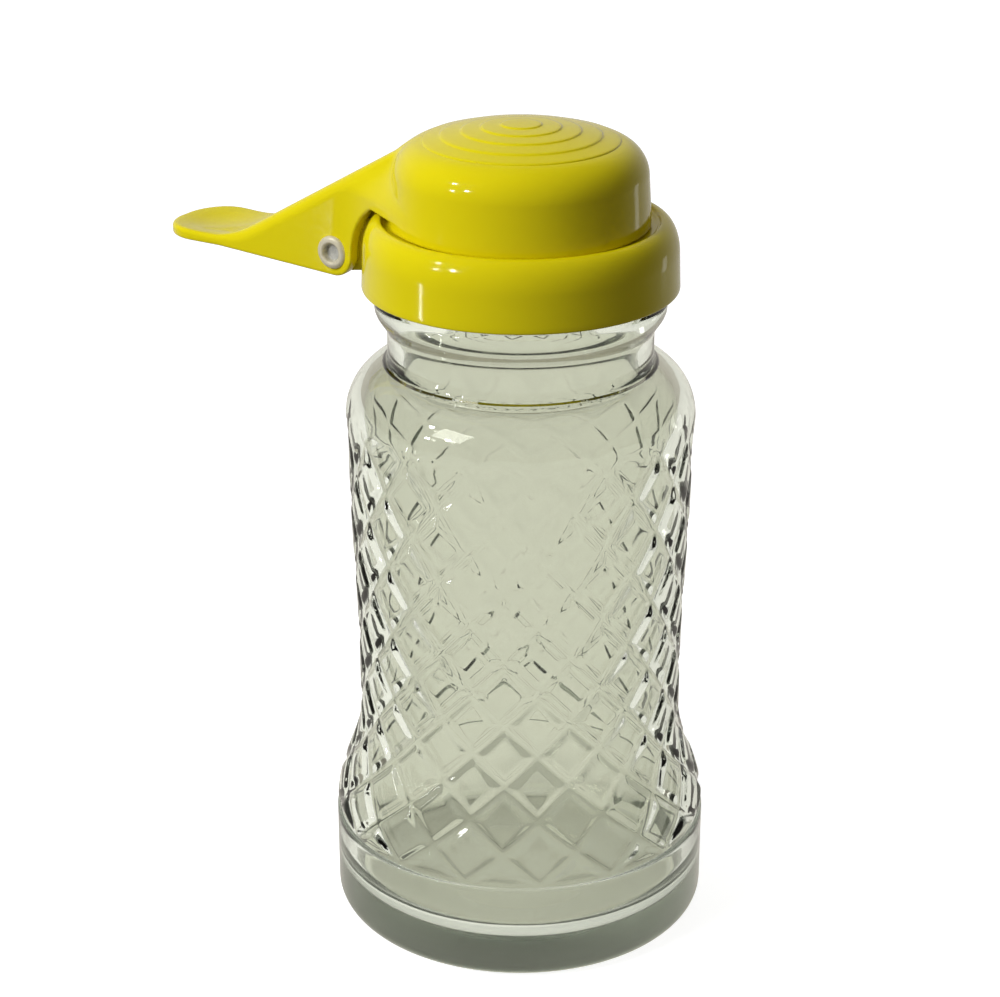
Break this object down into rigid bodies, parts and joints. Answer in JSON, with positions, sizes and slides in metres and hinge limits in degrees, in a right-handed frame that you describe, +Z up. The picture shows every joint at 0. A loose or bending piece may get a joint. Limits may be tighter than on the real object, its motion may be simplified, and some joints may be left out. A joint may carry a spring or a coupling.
{
  "type": "syrup dispenser",
  "caption": "Quilted glass syrup dispenser with a screw-on plastic collar, a short pouring spout and a sprung dome lid that a thumb lever tips back.",
  "frame": {"origin": "centre of the ring that the jar stands on, on the jar's axis", "axes": "+Z up along the jar, +X towards the pouring side of the spout, -X towards the thumb lever, hinge along Y"},
  "size_m": [0.1208, 0.0768, 0.1661],
  "materials": {
    "clear_glass": "pressed clear glass with a fire-polished surface",
    "liner_plastic": "soft foam sealing ring",
    "yellow_plastic": "glossy moulded plastic",
    "rivet_metal": "bright drawn metal",
    "spring_steel": "drawn wire"
  },
  "bodies": {
    "jar": {"glass_jar": "clear_glass"},
    "liner": {"cap_liner": "liner_plastic"},
    "collar": {"screw_collar": "yellow_plastic", "return_spring": "spring_steel"},
    "lid": {"lid": "yellow_plastic", "hinge_rivet": "rivet_metal"}
  },
  "joints": [
    {"name": "collar_rise", "type": "slide", "parent": "jar", "child": "liner", "axis": [0, 0, 1], "range_m": [0, 0.00635]},
    {"name": "collar_turn", "type": "hinge", "parent": "liner", "child": "collar", "pos_m": [0, 0, 0.1435], "axis": [0, 0, 1], "range_deg": [0, 450]},
    {"name": "lid_hinge", "type": "hinge", "parent": "collar", "child": "lid", "pos_m": [-0.0375, 0, 0.1373], "axis": [0, -1, 0], "range_deg": [0, 75], "stiffness_Nm_per_rad": 0.03, "springref_deg": -68.75, "deforming": ["return_spring"]}
  ],
  "couplings": [
    {"joint": "collar_turn", "follows": "collar_rise", "rad_per_m": 1236.8}
  ]
}
